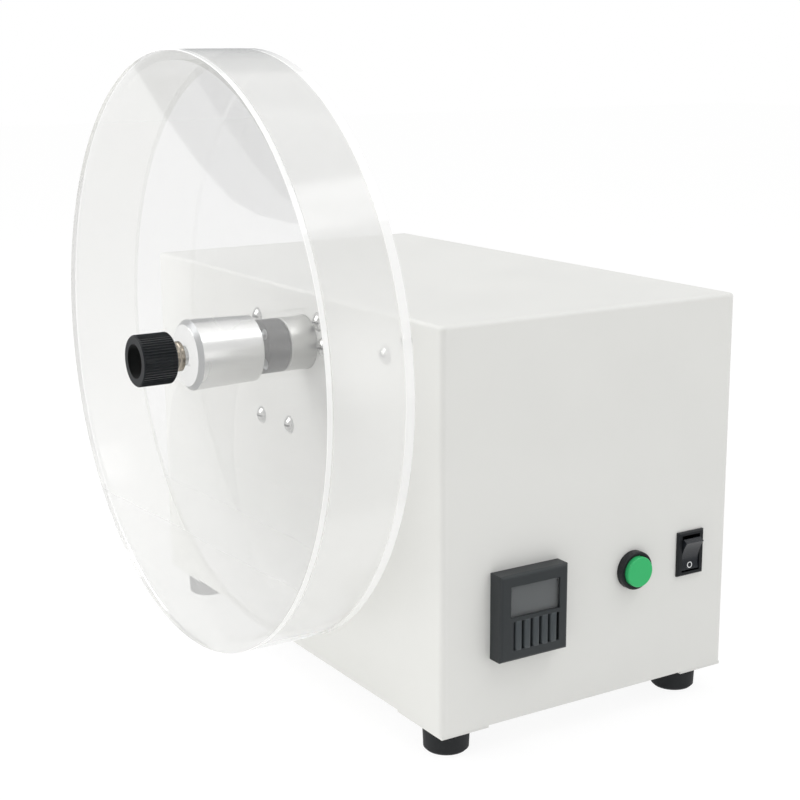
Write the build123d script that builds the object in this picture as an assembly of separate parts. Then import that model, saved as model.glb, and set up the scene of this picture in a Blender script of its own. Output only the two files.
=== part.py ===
from build123d import *
from math import asin, atan2, cos, degrees, pi, radians, sin
import os

# A tablet friability tester: a clear drum with a curved scoop turns on a spindle
# that stands out of the left side of a sheet steel housing.
# X runs to the right, Y to the back and Z up. While it is drawn, X is measured from the
# housing's left side, Y from its front panel and Z from its bottom edge.

# Clearances
seat_gap = 0.02          # radial, a pressed, screwed or glued seat
running_gap = 0.05       # radial, what turns or slides on its carrier
loose_gap = 0.3          # round a plate or a shank that drops in freely
overrun = 2.0            # how far a cut runs past what it cuts

# Housing
axis_back = 130.0        # drum axis behind the front panel
axis_height = 173.0      # drum axis above the housing's bottom edge
top_over_axis = 27.0
housing_width = 180.0
housing_depth = 314.0
housing_height = axis_height + top_over_axis
sheet = 1.5
corner_radius = 3.0
top_edge_radius = 2.0
back_return = 12.0       # edge folded in behind the rear panel
base_return = 28.0       # edge folded in over the base plate
base_lip = 14.0          # upturned rear edge of the base plate
vent_length = 62.0
vent_width = 4.0
vent_pitch = 9.0
vent_count = 8
vent_height_share = 0.66
base_vent_length = 46.0
base_vent_count = 6
base_vent_back_share = 0.45

# Feet
foot_radius = 12.0
foot_height = 14.5
foot_taper = 0.6
foot_edge = 1.2
foot_inset_side = 16.0
foot_inset_end = 20.0
foot_counterbore = 5.0
foot_counterbore_depth = 8.0
foot_plate_width = 27.5
foot_plate_depth = 40.0
foot_plate_inset = 0.5

# Drum
drum_radius = 150.0
drum_wall = 5.0
chamber_width = 36.0
lid_thickness = 3.0
back_disc_thickness = 5.0
disc_edge = 0.4
drum_to_housing = 27.0
scoop_radius_share = 0.5552     # of the chamber's radius, to its hollow side
scoop_thickness = 3.0
scoop_turn = 18.0        # degrees, its outer end forward of straight down

# Hub, collar and knob
stud_radius = 5.0
stud_end_inside_knob = 0.5
hub_radius = 18.0
hub_rear_radius = 17.0
hub_chamfer = 2.5
hub_screw_circle = 11.0
hub_screw_count = 4
hub_screw_depth = 13.0
collar_length = 6.0
collar_flange = 2.2
collar_radius = 7.6
collar_neck_radius = 6.3
collar_chamfer = 0.5
knob_length = 18.0
knob_radius = 13.0
knob_rib_depth = 0.45
knob_rib_count = 54
knob_edge = 0.8
knob_recess_radius = 8.5
knob_recess_depth = 11.0

# Spindle drive
spindle_radius = 6.0
flange_length = 12.0
flange_radius = 14.0
flange_edge = 0.5
flange_to_nose = 0.5
drive_pin_radius = 2.0
drive_pin_circle = 9.5
drive_pin_angles = (90.0, 270.0)
drive_pin_grip = 9.0     # how deep a pin is pressed into the flange
nose_radius = 14.0
nose_chamfer = 0.5
nose_lip = 1.5
nose_lip_bore = 7.0
bearing_radius = 12.0
bearing_width = 6.0
bearing_land_share = 0.25       # of its wall, each ring's flat face
bearing_shield_share = 0.0625   # of its width, how deep the shields lie
block_flange_radius = 25.0
block_flange_thickness = 6.0
block_body_radius = 14.5
block_body_length = 22.5
circlip_thickness = 1.2
circlip_depth = 0.6
circlip_inner_radius = 10.4
circlip_cheek = 1.8
circlip_opening = 5.2

# Bracket, gearmotor and coupling
bracket_plate = 3.0
bracket_before_axis = 108.0
bracket_behind_axis = 68.0
bracket_below_axis = 61.0
bracket_above_axis = 23.0
bracket_reach = 58.5     # housing side to the bracket's motor plate, centre of the metal
bracket_bend = 5.0
motor_plate_margin = 7.5
motor_plate_bore = 15.0
gearhead_side = 60.0
gearhead_length = 30.0
gearhead_edge = 4.0
gearhead_offset = 10.0   # output shaft above the middle of the gearhead
gearhead_screw_side = 50.0
gearhead_shaft_radius = 4.0
gearhead_shaft_depth = 18.0
motor_radius = 29.0
motor_end_room = 15.5    # between the motor and the right side
motor_groove_count = 5
motor_groove_depth = 1.2
motor_groove_share = 0.41
motor_end = 12.0
motor_end_edge = 4.0
coupling_radius = 12.5
coupling_length = 18.0
coupling_gap = 1.0       # between the two shaft ends inside it
block_to_coupling = 1.0
count_disc_radius = 20.0
count_disc_thickness = 1.5
count_disc_notch = 5.0
sensor_height = 10.0
sensor_length = 26.0
sensor_foot = 10.0
sensor_foot_thickness = 3.0
sensor_arm = 2.2
sensor_slot = 3.4
sensor_overlap = 4.0     # how far its slot reaches over the disc

# Fittings on the base plate
capacitor_length = 48.0
capacitor_width = 22.0
capacitor_height = 32.0
capacitor_edge = 3.0
capacitor_side_share = 0.3
capacitor_back_share = 0.72
terminal_length = 52.0
terminal_width = 18.0
terminal_height = 14.0
terminal_step = 6.0
terminal_ways = 5
terminal_well = 2.6
terminal_well_depth = 8.0
terminal_side_share = 0.62
terminal_back_share = 0.8

# Counter
counter_side_share = 0.2675
counter_height_share = 0.28175
counter_width = 40.3
counter_height = 43.7
counter_proud = 9.0
counter_edge = 1.6
counter_front_wall = 1.2
counter_side_wall = 2.0
counter_depth = 58.0     # of the case behind the front panel
counter_case_edge = 1.0
window_width = 29.3
window_height = 15.7
window_offset_x = 0.4
window_offset_z = 8.0
window_thickness = 1.0
window_lap = 1.0
display_thickness = 0.8
key_count = 5
key_pitch = 5.24
key_width = 4.0
key_height = 14.4
key_offset_x = 1.05
key_offset_z = -9.15
key_end_gap = 0.15
key_proud = 0.2
key_edge = 0.5
key_travel = 0.7
key_stop_gap = 0.1
key_shoulder = 0.8
clip_width = 4.0
clip_thickness = 4.0

# Start button
button_side_share = 0.646
button_height_share = 0.319
button_flange_radius = 10.0
button_flange = 4.0
button_flange_edge = 0.8
button_floor = 0.8
button_barrel_radius = 7.8
button_barrel_length = 16.0
button_cap_radius = 7.9
button_cap_proud = 6.6
button_cap_thickness = 3.6
button_cap_edge = 0.6
button_stem_radius = 4.0
button_travel = 2.0
button_nut_radius = 11.5
button_nut_thickness = 4.0
button_block_side = 17.0
button_block_length = 20.0

# Power switch
switch_side_share = 0.8564
switch_height_share = 0.33
switch_width = 17.3
switch_height = 23.6
switch_proud = 1.8
switch_edge = 0.6
switch_body_width = 15.0
switch_body_height = 21.8
switch_body_depth = 16.0
switch_pocket_width = 12.0
switch_pocket_height = 19.8
switch_pocket_floor = 9.0
rocker_half_height = 8.0
rocker_rise = 5.2        # pivot to the tip of the rocker, square to its face
rocker_dish = 1.7
rocker_shoulder = 8.9
rocker_shoulder_rise = 2.4
rocker_heel = 6.8
rocker_heel_drop = 1.8
rocker_sole = 3.6
rocker_sole_drop = 4.6
rocker_tilt = 13.0       # degrees either way from the middle
rocker_pivot_back = 1.87
trunnion_radius = 1.5
trunnion_length = 0.9
switch_tab_width = 4.8
switch_tab_thickness = 0.8
switch_tab_length = 9.0
switch_tab_spacing = 7.0
switch_tab_count = 3

# Mains inlet
inlet_side_share = 0.72
inlet_z = 42.0
inlet_flange_width = 50.0
inlet_flange_height = 24.0
inlet_flange_proud = 2.0
inlet_flange_edge = 5.0
inlet_body_width = 27.6
inlet_body_height = 20.0
inlet_body_depth = 24.0
inlet_mouth_width = 24.0
inlet_mouth_height = 16.6
inlet_mouth_chamfer = 4.0
inlet_mouth_depth = 17.5
inlet_screw_spacing = 40.0
inlet_pin_width = 4.0
inlet_pin_thickness = 2.0
inlet_pin_spacing = 14.0
inlet_pin_rise = 2.0
inlet_pin_recess = 2.5
inlet_tab_length = 8.0

# Fasteners
small_screw_radius = 1.45
small_head_radius = 2.8
small_head_height = 1.9
head_edge_share = 0.3
small_screw_length = 6.0
small_slot = 0.7
small_slot_depth = 0.9
foot_screw_radius = 1.95
foot_head_radius = 4.0
foot_head_height = 2.4
foot_nut_radius = 4.0
foot_nut_height = 3.2
side_screw_radius = 2.45
side_head_radius = 5.0
side_head_height = 2.7
side_slot = 1.1
side_slot_depth = 1.2
side_nut_radius = 4.6
side_nut_height = 4.0
side_screw_circle = 19.6
side_screw_angles = (140.0, 180.0)      # degrees round the spindle, seen from the left
# Back and up from the axis, as shares of the bracket's reach each way
side_screw_shares = ((0.78, 0.27), (0.749, -0.807), (0.273, -0.793), (-0.751, 0.27), (-0.927, 0.708))
rear_screw_shares = (0.12, 0.50, 0.92)
lip_screw_shares = (0.25, 0.75)
base_screw_shares = (0.28, 0.52, 0.76)
grub_radius = 1.95
grub_length = 5.0
grub_key = 1.0
grub_key_depth = 2.0

# Stations along the drum's axis, from the back disc outwards and from the nose inwards
back_disc_rear = -drum_to_housing
back_disc_front = back_disc_rear - back_disc_thickness
lid_rear = back_disc_front - chamber_width
lid_front = lid_rear - lid_thickness
knob_rear = lid_front - collar_length
knob_front = knob_rear - knob_length
recess_floor = knob_front + knob_recess_depth
stud_end = recess_floor + stud_end_inside_knob
flange_rear = back_disc_rear + flange_length
nose_front = flange_rear + flange_to_nose
front_bearing_start = nose_front + nose_lip
block_flange_start = sheet + bracket_plate
block_flange_end = block_flange_start + block_flange_thickness
block_end = block_flange_end + block_body_length
rear_bearing_end = block_end - circlip_cheek - circlip_thickness
motor_plate_front = bracket_reach - bracket_plate / 2
motor_plate_rear = bracket_reach + bracket_plate / 2
gearhead_end = motor_plate_rear + gearhead_length
motor_length = housing_width - sheet - motor_end_room - gearhead_end
coupling_start = block_end + block_to_coupling
coupling_end = coupling_start + coupling_length
spindle_end = coupling_start + (coupling_length - coupling_gap) / 2
gearhead_shaft_start = spindle_end + coupling_gap
count_disc_end = coupling_end + count_disc_thickness
gearhead_middle = axis_height - gearhead_offset
chamber_radius = drum_radius - drum_wall

# Layers of the housing's sheet from front to back and from below
base_top = 2 * sheet
panel_front = housing_depth - sheet
return_front = panel_front - sheet
foot_top = -sheet
foot_bottom = foot_top - foot_height

# Places of the fittings on the front and rear panels
counter_x = housing_width * counter_side_share
counter_z = housing_height * counter_height_share
button_x = housing_width * button_side_share
button_z = housing_height * button_height_share
switch_x = housing_width * switch_side_share
switch_z = housing_height * switch_height_share
inlet_x = housing_width * inlet_side_share

corner = (Align.MIN, Align.MIN, Align.MIN)
standing = (Align.CENTER, Align.CENTER, Align.MIN)


def block(x0, x1, y0, y1, z0, z1):
    """A rectangular block between two corners."""
    return Pos(x0, y0, z0) * Box(x1 - x0, y1 - y0, z1 - z0, align=corner)


def plate(x, z, width, height, y0, y1):
    """A block centred on a point of the front or rear panel."""
    return block(x - width / 2, x + width / 2, y0, y1, z - height / 2, z + height / 2)


def rod_x(x0, x1, radius, y=axis_back, z=axis_height):
    """A round bar along X, on the drum's axis unless told otherwise."""
    return Pos(x0, y, z) * Rot(0, 90, 0) * Cylinder(radius, x1 - x0, align=standing)


def rod_y(y0, y1, radius, x, z):
    """A round bar along Y."""
    return Pos(x, y0, z) * Rot(-90, 0, 0) * Cylinder(radius, y1 - y0, align=standing)


def rod_z(z0, z1, radius, x, y):
    """A round bar along Z."""
    return Pos(x, y, z0) * Cylinder(radius, z1 - z0, align=standing)


def turned(outline, y=axis_back, z=axis_height):
    """A solid turned about a line along X, from its outline of station and radius."""
    face = make_face(Polyline(*outline, close=True))
    return Pos(0, y, z) * revolve(face, Axis.X)


def slot_y(x, z, length, width, y0, y1):
    """A round-ended slot through a panel that faces along Y."""
    face = Plane.XZ.offset(-y1) * Pos(x, z) * SlotOverall(length, width)
    return extrude(face, y1 - y0)


def nut(radius, bore, thickness):
    """A hexagon nut that stands on the origin."""
    outline = RegularPolygon(radius, 6) - Circle(bore)
    return extrude(outline, thickness)


def side_nut(x0, y, z):
    """One nut of a side screw, on a line along X."""
    return Pos(x0, y, z) * Rot(0, 90, 0) * nut(
        side_nut_radius, side_screw_radius + seat_gap, side_nut_height)


def minus(shape, cuts):
    """The shape with each of the cuts taken out of it."""
    for cut in cuts:
        shape = shape - cut
    return shape


def on_circle(radius, degrees_round):
    """Back and height of a point round the drum's axis, from the back towards the top."""
    angle = radians(degrees_round)
    return axis_back + radius * cos(angle), axis_height + radius * sin(angle)


def on_bracket(back_share, up_share):
    """Back and height of a point of the bracket, by shares of its reach from the axis."""
    back = bracket_behind_axis if back_share > 0 else bracket_before_axis
    up = bracket_above_axis if up_share > 0 else bracket_below_axis
    return axis_back + back * back_share, axis_height + up * up_share


# Places of the fasteners
bracket_places = [on_bracket(back_share, up_share) for back_share, up_share in side_screw_shares]
nose_places = [on_circle(side_screw_circle, angle) for angle in side_screw_angles]
rear_edge_x = (sheet + loose_gap + back_return) / 2
rear_places = [
    (x, housing_height * share)
    for x in (rear_edge_x, housing_width - rear_edge_x)
    for share in rear_screw_shares
] + [(housing_width * share, sheet + base_lip / 2) for share in lip_screw_shares]
base_places = [
    (x, housing_depth * share)
    for x in (base_return / 2, housing_width - base_return / 2)
    for share in base_screw_shares
]
foot_places = {
    "front_left": (foot_inset_side, foot_inset_end),
    "front_right": (housing_width - foot_inset_side, foot_inset_end),
    "rear_left": (foot_inset_side, housing_depth - foot_inset_end),
    "rear_right": (housing_width - foot_inset_side, housing_depth - foot_inset_end),
}
hub_screw_places = [
    on_circle(hub_screw_circle, 360 / hub_screw_count * (k + 0.5)) for k in range(hub_screw_count)
]
pin_places = [on_circle(drive_pin_circle, angle) for angle in drive_pin_angles]
inlet_screw_places = [
    (inlet_x + side * inlet_screw_spacing / 2, inlet_z) for side in (-1, 1)
]


# Housing

def folded_block(inset, y1, z0, z1, corner_size, top_size):
    """A block with the housing's rounded front corners and top edges."""
    shape = block(inset, housing_width - inset, inset, y1, z0, z1)
    uprights = shape.edges().filter_by(Axis.Z).sort_by(Axis.Y)[:2]
    shape = fillet(uprights, corner_size)
    rim = shape.faces().sort_by(Axis.Z)[-1].edges().sort_by(Axis.Y)[:-1]
    return fillet(rim, top_size)


def housing_shell():
    """Front, sides and top folded and welded from one sheet, open below and behind."""
    shell = folded_block(0, housing_depth, 0, housing_height, corner_radius, top_edge_radius)
    inside = folded_block(
        sheet, return_front, sheet, housing_height - sheet,
        corner_radius - sheet, top_edge_radius - sheet,
    )
    cuts = [
        inside,
        block(base_return, housing_width - base_return, base_return, housing_depth + overrun,
              -overrun, base_top),
        block(back_return, housing_width - back_return, return_front - sheet,
              housing_depth + overrun, -overrun, housing_height - back_return),
        block(sheet, housing_width - sheet, panel_front, housing_depth + overrun,
              -overrun, housing_height - sheet),
        rod_x(-overrun, sheet + overrun, nose_radius + loose_gap),
        counter_case_envelope(loose_gap),
        rod_y(-overrun, sheet + overrun, button_barrel_radius + loose_gap, button_x, button_z),
        plate(switch_x, switch_z, switch_body_width + loose_gap, switch_body_height + loose_gap,
              -overrun, sheet + overrun),
    ]
    cuts += [rod_x(-overrun, sheet + overrun, side_screw_radius + loose_gap, y, z)
             for y, z in bracket_places + nose_places]
    cuts += [rod_y(return_front - overrun, panel_front + overrun, small_screw_radius + seat_gap, x, z)
             for x, z in rear_places]
    cuts += [rod_z(-overrun, base_top, small_screw_radius + loose_gap, x, y) for x, y in base_places]
    cuts += [rod_z(-overrun, base_top, foot_screw_radius + loose_gap, x, y)
             for x, y in foot_places.values()]
    return minus(shell, cuts)


def base_plate():
    """The floor of the housing, lying on its folded edges, with a lip for the rear panel."""
    inner = sheet + loose_gap
    side = back_return + loose_gap
    floor = block(inner, housing_width - inner, inner, return_front - loose_gap, sheet, base_top)
    floor = fillet(floor.edges().filter_by(Axis.Z).sort_by(Axis.Y)[:2], corner_radius)
    tongue = block(side, housing_width - side, base_return, panel_front, sheet, base_top)
    lip = block(side, housing_width - side, return_front, panel_front, sheet, sheet + base_lip)
    cuts = [rod_z(0, base_top + overrun, small_screw_radius + seat_gap, x, y) for x, y in base_places]
    cuts += [rod_z(0, base_top + overrun, foot_screw_radius + loose_gap, x, y)
             for x, y in foot_places.values()]
    cuts += [rod_y(return_front - overrun, panel_front + overrun, small_screw_radius + seat_gap, x, z)
             for x, z in rear_places]
    for k in range(base_vent_count):
        across = housing_width / 2 + (k - (base_vent_count - 1) / 2) * vent_pitch
        slot = Pos(across, housing_depth * base_vent_back_share, 0) * Rot(0, 0, 90) * extrude(
            SlotOverall(base_vent_length, vent_width), base_top + overrun)
        cuts.append(slot)
    return minus(floor + tongue + lip, cuts)


def rear_panel():
    """The screwed cover at the back, with its cooling slots and the inlet's hole."""
    inner = sheet + loose_gap
    panel = block(inner, housing_width - inner, panel_front, housing_depth,
                  loose_gap, housing_height - inner)
    first = panel_front - overrun
    last = housing_depth + overrun
    cuts = [rod_y(first, last, small_screw_radius + loose_gap, x, z) for x, z in rear_places]
    cuts += [rod_y(first, last, small_screw_radius + seat_gap, x, z) for x, z in inlet_screw_places]
    cuts.append(plate(inlet_x, inlet_z, inlet_body_width + loose_gap, inlet_body_height + loose_gap,
                      first, last))
    for k in range(vent_count):
        height = housing_height * vent_height_share + (k - (vent_count - 1) / 2) * vent_pitch
        for side in (-1, 1):
            across = housing_width / 2 + side * (vent_length / 2 + vent_pitch / 2)
            cuts.append(slot_y(across, height, vent_length, vent_width, first, last))
    return minus(panel, cuts)


def foot_plates():
    """Four thin plates between the feet and the housing, one at each corner."""
    plates = []
    for x, y in foot_places.values():
        left = foot_plate_inset if x < housing_width / 2 else (
            housing_width - foot_plate_inset - foot_plate_width)
        front = foot_plate_inset if y < housing_depth / 2 else (
            housing_depth - foot_plate_inset - foot_plate_depth)
        shape = block(left, left + foot_plate_width, front, front + foot_plate_depth, foot_top, 0)
        plates.append(shape - rod_z(foot_top - overrun, overrun, foot_screw_radius + loose_gap, x, y))
    return plates


def foot(x, y):
    """A rubber foot, a little narrower below, with a deep hole for its screw."""
    top = foot_radius
    low = foot_radius - foot_taper
    hole = foot_screw_radius + loose_gap
    step = foot_bottom + foot_counterbore_depth
    outline = Polyline(
        (hole, foot_top), (top, foot_top), (low, foot_bottom + foot_edge),
        (low - foot_edge, foot_bottom), (foot_counterbore, foot_bottom),
        (foot_counterbore, step), (hole, step), close=True)
    return Pos(x, y, 0) * revolve(make_face(Plane.XZ * outline), Axis.Z)


# Fasteners

def dome_screw(y, z, grip):
    """A slotted dome-headed screw through the left side, with its head outside."""
    ball = (side_head_radius ** 2 + side_head_height ** 2) / (2 * side_head_height)
    dome = Pos(ball - side_head_height, y, z) * Sphere(ball)
    head = dome & rod_x(-side_head_height, 0, side_head_radius, y, z)
    slot = block(-side_head_height - overrun, side_slot_depth - side_head_height,
                 y - side_head_radius, y + side_head_radius, z - side_slot / 2, z + side_slot / 2)
    shank = rod_x(0, grip + side_nut_height, side_screw_radius, y, z)
    return head - slot + shank


def side_screws():
    """Seven screws that hold the drive bracket and the bearing block to the left side."""
    screws = [dome_screw(y, z, block_flange_start) for y, z in bracket_places]
    return screws + [dome_screw(y, z, block_flange_end) for y, z in nose_places]


def side_nuts():
    """The nuts of the side screws."""
    nuts = [side_nut(block_flange_start, y, z) for y, z in bracket_places]
    return nuts + [side_nut(block_flange_end, y, z) for y, z in nose_places]


def cheese_screw(radius, head_radius, head_height, length):
    """A slotted cheese-headed screw whose shank points down from the origin."""
    head = Cylinder(head_radius, head_height, align=standing)
    head = chamfer(head.edges().sort_by(Axis.Z)[-1], head_height * head_edge_share)
    slot = Pos(0, 0, head_height) * Box(2 * head_radius, small_slot, 2 * small_slot_depth)
    return head - slot + Pos(0, 0, -length) * Cylinder(radius, length, align=standing)


def small_screw(length=small_screw_length):
    """The small screw used for the panels, the inlet and the sensor."""
    return cheese_screw(small_screw_radius, small_head_radius, small_head_height, length)


def rear_panel_screws():
    """Screws that hold the rear panel to the folded edges and the base plate's lip."""
    return [Pos(x, housing_depth, z) * Rot(-90, 0, 0) * small_screw() for x, z in rear_places]


def base_screws():
    """Screws from below that hold the base plate to the folded edges."""
    return [Pos(x, y, 0) * Rot(180, 0, 0) * small_screw() for x, y in base_places]


def foot_screws():
    """One long screw up through each foot."""
    head_seat = foot_bottom + foot_counterbore_depth
    screw = cheese_screw(foot_screw_radius, foot_head_radius, foot_head_height,
                         base_top + foot_nut_height - head_seat)
    return [Pos(x, y, head_seat) * Rot(180, 0, 0) * screw for x, y in foot_places.values()]


def foot_nuts():
    """The nuts of the foot screws, on the base plate."""
    shape = nut(foot_nut_radius, foot_screw_radius + seat_gap, foot_nut_height)
    return [Pos(x, y, base_top) * shape for x, y in foot_places.values()]


# Spindle drive

def drive_bracket():
    """A bent channel on the left side that carries the bearing block and the gearmotor."""
    middle = sheet + bracket_plate / 2
    back = axis_back + bracket_behind_axis - bracket_plate / 2
    plate_front = axis_back - gearhead_side / 2 - motor_plate_margin
    path = FilletPolyline(
        (middle, axis_back - bracket_before_axis), (middle, back), (bracket_reach, back),
        (bracket_reach, plate_front), radius=bracket_bend)
    channel = Pos(0, 0, axis_height - bracket_below_axis) * extrude(
        trace(path, bracket_plate), bracket_below_axis + bracket_above_axis)
    cuts = [rod_x(0, block_flange_end, nose_radius + loose_gap),
            rod_x(motor_plate_front - overrun, motor_plate_rear + overrun, motor_plate_bore)]
    cuts += [rod_x(0, block_flange_end, side_screw_radius + loose_gap, y, z)
             for y, z in bracket_places + nose_places]
    cuts += [rod_x(motor_plate_front - overrun, motor_plate_rear + overrun,
                   small_screw_radius + loose_gap, y, z) for y, z in gearhead_screw_places]
    cuts.append(rod_x(motor_plate_front - overrun, motor_plate_rear + overrun,
                      small_screw_radius + seat_gap, sensor_screw_back, axis_height))
    return minus(channel, cuts)


def bearing_block():
    """The flanged bearing housing, whose bright nose stands out of the side panel."""
    seat = bearing_radius + seat_gap
    groove = bearing_radius + circlip_depth + seat_gap
    clip_end = rear_bearing_end + circlip_thickness
    shape = turned([
        (nose_front, nose_lip_bore), (front_bearing_start, nose_lip_bore),
        (front_bearing_start, seat), (rear_bearing_end, seat), (rear_bearing_end, groove),
        (clip_end, groove), (clip_end, seat), (block_end, seat), (block_end, block_body_radius),
        (block_flange_end, block_body_radius), (block_flange_end, block_flange_radius),
        (block_flange_start, block_flange_radius), (block_flange_start, nose_radius),
        (nose_front + nose_chamfer, nose_radius), (nose_front, nose_radius - nose_chamfer)])
    return minus(shape, [rod_x(0, block_flange_end + overrun, side_screw_radius + loose_gap, y, z)
                         for y, z in nose_places])


def bearing(x0):
    """A ball bearing, both rings and the shields between them in one solid."""
    bore = spindle_radius + running_gap
    land = (bearing_radius - bore) * bearing_land_share
    shield = bearing_width * bearing_shield_share
    x1 = x0 + bearing_width
    return turned([
        (x0, bore), (x0, bore + land), (x0 + shield, bore + land), (x0 + shield, bearing_radius - land),
        (x0, bearing_radius - land), (x0, bearing_radius), (x1, bearing_radius),
        (x1, bearing_radius - land), (x1 - shield, bearing_radius - land), (x1 - shield, bore + land),
        (x1, bore + land), (x1, bore)])


def bearing_circlip():
    """The open spring ring that holds the rear bearing in its seat."""
    x0 = rear_bearing_end
    x1 = x0 + circlip_thickness
    ring = rod_x(x0, x1, bearing_radius + circlip_depth) - rod_x(
        x0 - overrun, x1 + overrun, circlip_inner_radius)
    half = circlip_opening / 2
    return ring - block(x0 - overrun, x1 + overrun, axis_back - half, axis_back + half,
                        axis_height, axis_height + bearing_radius + overrun)


def spindle_shaft():
    """The spindle: thick in the bearings, thinner where it carries the drum and the knob."""
    tip = nose_chamfer
    return turned([
        (stud_end, 0), (stud_end, stud_radius - tip), (stud_end + tip, stud_radius),
        (back_disc_rear, stud_radius), (back_disc_rear, spindle_radius),
        (spindle_end - tip, spindle_radius), (spindle_end, spindle_radius - tip), (spindle_end, 0)])


def drive_flange():
    """The grey ring fixed on the spindle, which turns the drum through two pins."""
    bore = spindle_radius + seat_gap
    rim = flange_radius - flange_edge
    ring = turned([
        (back_disc_rear, bore), (back_disc_rear, rim), (back_disc_rear + flange_edge, flange_radius),
        (flange_rear - flange_edge, flange_radius), (flange_rear, rim), (flange_rear, bore)])
    cuts = [rod_x(back_disc_rear - overrun, back_disc_rear + drive_pin_grip,
                  drive_pin_radius + seat_gap, y, z) for y, z in pin_places]
    middle = (back_disc_rear + flange_rear) / 2
    cuts.append(rod_y(axis_back, axis_back + flange_radius + overrun, grub_radius + seat_gap,
                      middle, axis_height))
    return minus(ring, cuts)


def drive_pins():
    """Two pins pressed into the flange that enter the drum's back disc."""
    return [rod_x(back_disc_front + loose_gap, back_disc_rear + drive_pin_grip, drive_pin_radius, y, z)
            for y, z in pin_places]


def grub_screw(x, direction, surface):
    """A socket grub screw along Y, flush with the surface of the ring that it locks."""
    start = axis_back + direction * (surface - grub_length)
    end = axis_back + direction * surface
    low, high = min(start, end), max(start, end)
    screw = rod_y(low, high, grub_radius, x, axis_height)
    key_start = end - direction * grub_key_depth
    key = rod_y(min(key_start, end), max(key_start, end), grub_key, x, axis_height)
    return screw - key


def grub_screws():
    """Grub screws of the drive flange and of both halves of the coupling."""
    middle = (back_disc_rear + flange_rear) / 2
    quarter = coupling_length / 4
    return [grub_screw(middle, 1, flange_radius - flange_edge),
            grub_screw(coupling_start + quarter, -1, coupling_radius),
            grub_screw(coupling_end - quarter, -1, coupling_radius)]


def shaft_coupling():
    """A rigid sleeve that joins the gearhead's shaft to the spindle."""
    sleeve = rod_x(coupling_start, coupling_end, coupling_radius)
    sleeve = chamfer(sleeve.edges().filter_by(GeomType.CIRCLE), nose_chamfer)
    middle = (coupling_start + coupling_end) / 2
    quarter = coupling_length / 4
    cuts = [rod_x(coupling_start - overrun, middle, spindle_radius + seat_gap),
            rod_x(middle, coupling_end + overrun, gearhead_shaft_radius + seat_gap)]
    cuts += [rod_y(axis_back - coupling_radius - overrun, axis_back, grub_radius + seat_gap, x, axis_height)
             for x in (coupling_start + quarter, coupling_end - quarter)]
    return minus(sleeve, cuts)


def gearhead_shaft():
    """The gearhead's output shaft."""
    return rod_x(gearhead_shaft_start, motor_plate_rear + gearhead_shaft_depth, gearhead_shaft_radius)


def count_disc():
    """The notched disc on the shaft that the sensor counts turns by."""
    disc = rod_x(coupling_end, count_disc_end, count_disc_radius)
    disc = disc - rod_x(coupling_end - overrun, count_disc_end + overrun,
                        gearhead_shaft_radius + seat_gap)
    notch = block(coupling_end - overrun, count_disc_end + overrun,
                  axis_back - count_disc_notch / 2, axis_back + count_disc_notch / 2,
                  axis_height + count_disc_radius - count_disc_notch,
                  axis_height + count_disc_radius + overrun)
    return disc - notch


sensor_front = axis_back + count_disc_radius - sensor_overlap
sensor_screw_back = sensor_front + sensor_length - sensor_foot / 2
disc_middle = (coupling_end + count_disc_end) / 2
gearhead_screw_places = [
    (axis_back + side * gearhead_screw_side / 2, gearhead_middle + up * gearhead_screw_side / 2)
    for side in (-1, 1) for up in (-1, 1)
]


def count_sensor():
    """A forked optical sensor on the motor plate, with the disc's edge in its fork."""
    low = disc_middle - sensor_slot / 2 - sensor_arm
    back = sensor_front + sensor_length
    z0 = axis_height - sensor_height / 2
    z1 = axis_height + sensor_height / 2
    head = block(low, motor_plate_front, sensor_front, back - sensor_foot, z0, z1)
    foot_block = block(motor_plate_front - sensor_foot_thickness, motor_plate_front,
                       sensor_front + sensor_overlap * 2, back, z0, z1)
    fork = block(disc_middle - sensor_slot / 2, disc_middle + sensor_slot / 2,
                 sensor_front - overrun, sensor_front + sensor_overlap + overrun, z0 - overrun, z1 + overrun)
    hole = rod_x(motor_plate_front - 2 * sensor_foot_thickness, motor_plate_front + overrun,
                 small_screw_radius + seat_gap, sensor_screw_back, axis_height)
    return head + foot_block - fork - hole


def gearhead_screws():
    """Screws through the motor plate into the gearhead, and the sensor's screw beside them."""
    screws = [Pos(motor_plate_front, y, z) * Rot(0, -90, 0) * small_screw(2 * small_screw_length)
              for y, z in gearhead_screw_places]
    sensor_face = motor_plate_front - sensor_foot_thickness
    sensor_screw = Pos(sensor_face, sensor_screw_back, axis_height) * Rot(0, -90, 0) * small_screw()
    return screws + [sensor_screw]


def gearhead():
    """The square reduction gearbox, with its output shaft above its middle."""
    x0 = motor_plate_rear
    half = gearhead_side / 2
    box = block(x0, x0 + gearhead_length, axis_back - half, axis_back + half,
                gearhead_middle - half, gearhead_middle + half)
    box = fillet(box.edges().filter_by(Axis.X), gearhead_edge)
    cuts = [rod_x(x0 - overrun, x0 + gearhead_shaft_depth + loose_gap,
                  gearhead_shaft_radius + running_gap)]
    cuts += [rod_x(x0 - overrun, x0 + gearhead_length / 2, small_screw_radius + seat_gap, y, z)
             for y, z in gearhead_screw_places]
    return minus(box, cuts)


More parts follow.
